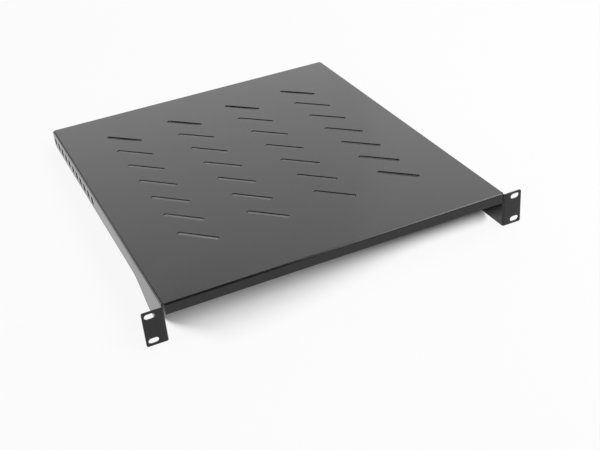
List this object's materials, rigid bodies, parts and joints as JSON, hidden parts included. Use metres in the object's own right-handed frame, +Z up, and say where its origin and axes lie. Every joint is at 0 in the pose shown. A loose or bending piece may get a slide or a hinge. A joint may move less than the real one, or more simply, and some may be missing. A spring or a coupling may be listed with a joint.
{
  "type": "rack shelf",
  "caption": "Low rack shelf folded from black sheet steel, with slanted vent slots in its top, slotted ears, a front lip and square holes in its side walls.",
  "frame": {"origin": "centre of the pattern of the four rack slots, on the rear face of the ears, which seats on the rack's front rails", "axes": "+X to the right as seen from the front of the rack, +Y back into the rack, +Z up"},
  "size_m": [0.4826, 0.5, 0.0465],
  "materials": {
    "black_coat": "satin black powder coat on sheet steel"
  },
  "bodies": {
    "root": {"shelf": "black_coat"}
  },
  "joints": []
}
